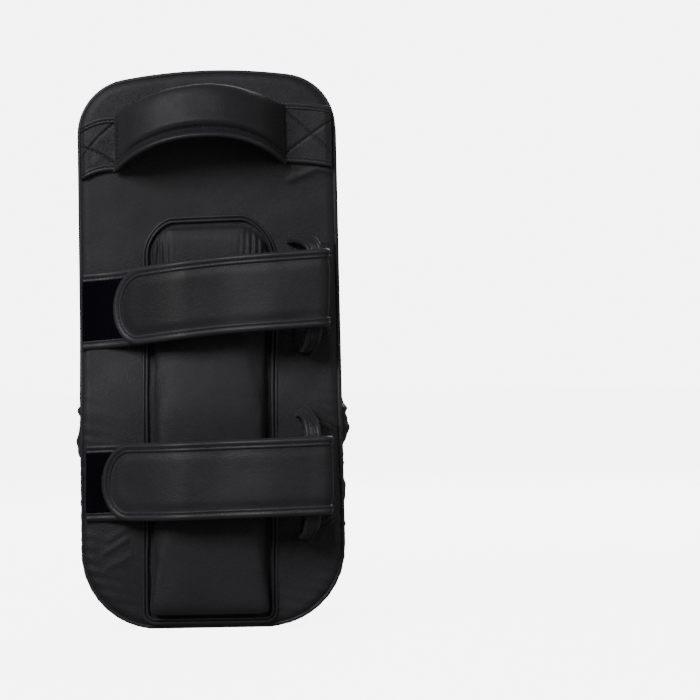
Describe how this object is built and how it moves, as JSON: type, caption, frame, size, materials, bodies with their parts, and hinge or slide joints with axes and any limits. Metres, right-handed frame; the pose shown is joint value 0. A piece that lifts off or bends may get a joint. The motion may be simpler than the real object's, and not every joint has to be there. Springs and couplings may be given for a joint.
{
  "type": "thai pad",
  "caption": "Upright black leather kick pad for martial arts, with a padded hand grip, a raised forearm cushion and hook-and-loop forearm straps.",
  "frame": {"origin": "under the middle of the whole pad, at the level of the end that it stands on", "axes": "+Z along the pad's length towards the hand grip, -Y out of the arm side with the straps, +Y out of the strike face, +X to the side where the straps fold round their loops"},
  "size_m": [0.1886, 0.1292, 0.4015],
  "materials": {
    "strike_leather": "matte",
    "side_leather": "matte",
    "arm_leather": "matte",
    "strap_leather": "matte",
    "edge_leather": "satin",
    "pile": "matte",
    "hook": "matte",
    "webbing": "matte",
    "canvas": "matte",
    "dense_foam": "matte",
    "core_foam": "matte",
    "soft_foam": "matte"
  },
  "bodies": {
    "root": {"strike_cover": "strike_leather", "strike_piping": "edge_leather", "side_gusset": "side_leather", "arm_panel": "arm_leather", "arm_piping": "edge_leather", "strike_foam": "dense_foam", "core_foam": "core_foam", "back_foam": "soft_foam", "lower_wedge_foam": "soft_foam", "panel_lining": "canvas", "forearm_foam": "soft_foam", "forearm_cover": "arm_leather", "forearm_piping": "edge_leather", "grip_webbing": "webbing", "grip_foam": "dense_foam", "grip_cover": "arm_leather", "left_handle_tab": "strap_leather", "right_handle_tab": "strap_leather", "upper_under_strap": "strap_leather", "upper_pile_patch": "pile", "upper_under_strap_binding": "edge_leather", "upper_strap_fold": "strap_leather", "upper_loop": "strap_leather", "upper_loop_binding": "edge_leather", "upper_loop_patch": "strap_leather", "lower_under_strap": "strap_leather", "lower_pile_patch": "pile", "lower_under_strap_binding": "edge_leather", "lower_strap_fold": "strap_leather", "lower_loop": "strap_leather", "lower_loop_binding": "edge_leather", "lower_loop_patch": "strap_leather"},
    "upper_flap": {"upper_flap": "strap_leather", "upper_flap_binding": "edge_leather", "upper_hook_patch": "hook"},
    "lower_flap": {"lower_flap": "strap_leather", "lower_flap_binding": "edge_leather", "lower_hook_patch": "hook"}
  },
  "joints": [
    {"name": "upper_strap_open", "type": "hinge", "parent": "root", "child": "upper_flap", "pos_m": [0.0764, -0.05695, 0.242], "axis": [-0.0523, 0, 0.9986], "range_deg": [0, 150]},
    {"name": "lower_strap_open", "type": "hinge", "parent": "root", "child": "lower_flap", "pos_m": [0.0765, -0.06495, 0.10867], "axis": [-0.0087, 0, 1], "range_deg": [0, 150]}
  ]
}
